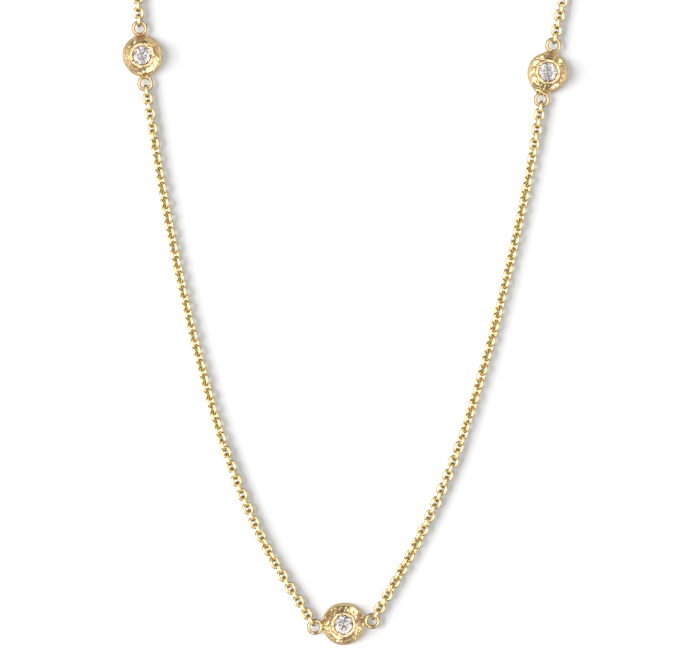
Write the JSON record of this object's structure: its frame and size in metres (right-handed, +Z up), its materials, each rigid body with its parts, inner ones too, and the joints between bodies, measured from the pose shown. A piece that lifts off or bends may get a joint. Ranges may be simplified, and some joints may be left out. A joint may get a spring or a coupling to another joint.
{
  "type": "station necklace",
  "caption": "Fine cable-chain necklace with hammered round settings spaced along its front, each with a brilliant-cut stone, closed at the back by a ring clasp.",
  "frame": {"origin": "middle of the centre station's flat back, on the surface that the necklace lies on", "axes": "+Z up out of the surface, +Y from the centre station to the clasp, +X to the right"},
  "size_m": [0.0763, 0.181, 0.0025],
  "materials": {
    "hammered_gold": "polished yellow gold with hammer marks",
    "chain_gold": "polished yellow gold wire",
    "clasp_gold": "polished yellow gold",
    "stone": "clear cut stone"
  },
  "bodies": {
    "root": {"station_left": "hammered_gold", "station_centre": "hammered_gold", "station_right": "hammered_gold", "stone_left": "stone", "stone_centre": "stone", "stone_right": "stone", "chain_front_left": "chain_gold", "chain_front_right": "chain_gold", "chain_back_left": "chain_gold", "chain_back_right": "chain_gold", "clasp": "clasp_gold", "end_ring": "clasp_gold"}
  },
  "joints": []
}
